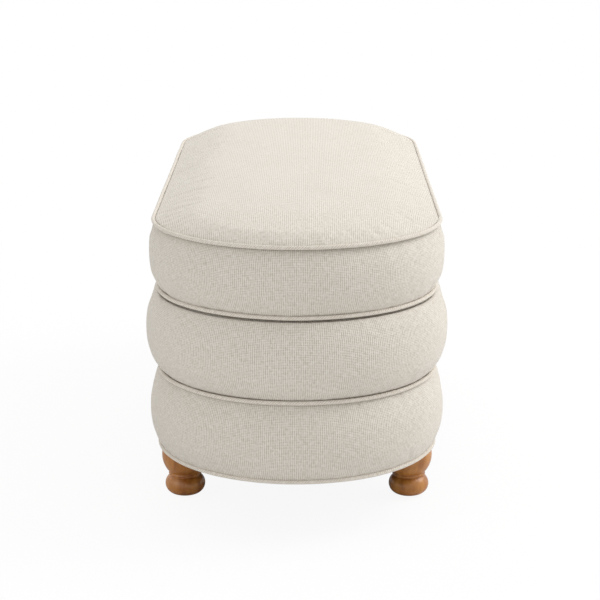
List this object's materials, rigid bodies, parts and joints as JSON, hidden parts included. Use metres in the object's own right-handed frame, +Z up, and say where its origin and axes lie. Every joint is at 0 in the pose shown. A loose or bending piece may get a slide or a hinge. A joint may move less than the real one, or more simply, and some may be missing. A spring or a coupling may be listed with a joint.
{
  "type": "storage bench",
  "caption": "upholstered storage bench with rounded ends, piped fabric rolls, a crowned lid cushion on a back hinge with folding stays, and turned wooden bun feet",
  "frame": {"origin": "on the floor, under the middle of the bench", "axes": "+X along the bench, -Y towards the front, +Z up"},
  "size_m": [1.115, 0.45, 0.4722],
  "materials": {
    "linen": "slubby plain-weave linen look",
    "piping": "the same cloth over cord",
    "foam": "open-cell foam",
    "dust_cloth": "black non-woven cloth",
    "lining_cloth": "card faced with plain cloth",
    "plywood": "raw",
    "turned_wood": "orange-brown stain, satin",
    "nylon": "matte",
    "bumper_rubber": "matte",
    "black_steel": "black satin",
    "bright_steel": "zinc plated"
  },
  "bodies": {
    "box": {"foot_front_left": "turned_wood", "foot_back_left": "turned_wood", "foot_front_right": "turned_wood", "foot_back_right": "turned_wood", "glides": "nylon", "hanger_bolts": "bright_steel", "tee_nuts": "bright_steel", "dust_cover": "dust_cloth", "base_panel": "plywood", "front_board": "plywood", "back_board": "plywood", "end_wall_left": "plywood", "end_wall_right": "plywood", "corner_posts": "plywood", "rim": "plywood", "outer_wrap": "plywood", "storage_lining": "lining_cloth", "floor_panel": "lining_cloth", "lower_roll_cover": "linen", "lower_roll_foam": "foam", "middle_roll_cover": "linen", "middle_roll_foam": "foam", "base_welt": "piping", "middle_welt": "piping", "lid_bumpers": "bumper_rubber", "hinge_box_leaf": "bright_steel", "hinge_pin": "bright_steel", "hinge_box_screws": "bright_steel", "stay_box_bracket_right": "black_steel", "stay_box_bracket_left": "black_steel", "stay_box_rivets": "bright_steel", "stay_box_screws": "bright_steel"},
    "lid": {"lid_board": "plywood", "lid_lining": "lining_cloth", "lid_boxing_cover": "linen", "lid_top_cover": "linen", "lid_foam": "foam", "lid_bottom_welt": "piping", "lid_top_welt": "piping", "hinge_lid_leaf": "bright_steel", "hinge_lid_screws": "bright_steel", "stay_lid_bracket_right": "black_steel", "stay_lid_bracket_left": "black_steel", "stay_lid_rivets": "bright_steel", "stay_lid_screws": "bright_steel"},
    "lower_arm_left": {"stay_lower_arm_left": "black_steel", "stay_knee_rivet_left": "bright_steel"},
    "lower_arm_right": {"stay_lower_arm_right": "black_steel", "stay_knee_rivet_right": "bright_steel"},
    "upper_arm_left": {"stay_upper_arm_left": "black_steel"},
    "upper_arm_right": {"stay_upper_arm_right": "black_steel"}
  },
  "joints": [
    {"name": "lid_hinge", "type": "hinge", "parent": "box", "child": "lid", "pos_m": [0, 0.2122, 0.3295], "axis": [-1, 0, 0], "range_deg": [0, 95]},
    {"name": "lower_arm_left_pivot", "type": "hinge", "parent": "box", "child": "lower_arm_left", "pos_m": [-0.3165, 0.13063, 0.29146], "axis": [-1, 0, 0], "range_deg": [0, 95]},
    {"name": "upper_arm_left_knee", "type": "hinge", "parent": "lower_arm_left", "child": "upper_arm_left", "pos_m": [-0.3165, 0.04151, 0.27894], "axis": [-1, 0, 0], "range_deg": [-95, 0]},
    {"name": "lower_arm_right_pivot", "type": "hinge", "parent": "box", "child": "lower_arm_right", "pos_m": [0.3165, 0.13063, 0.29146], "axis": [-1, 0, 0], "range_deg": [0, 95]},
    {"name": "upper_arm_right_knee", "type": "hinge", "parent": "lower_arm_right", "child": "upper_arm_right", "pos_m": [0.3165, 0.04151, 0.27894], "axis": [-1, 0, 0], "range_deg": [-95, 0]}
  ],
  "couplings": [
    {"joint": "lower_arm_left_pivot", "follows": "lid_hinge", "ratio": 1},
    {"joint": "upper_arm_left_knee", "follows": "lid_hinge", "ratio": -1},
    {"joint": "lower_arm_right_pivot", "follows": "lid_hinge", "ratio": 1},
    {"joint": "upper_arm_right_knee", "follows": "lid_hinge", "ratio": -1}
  ]
}
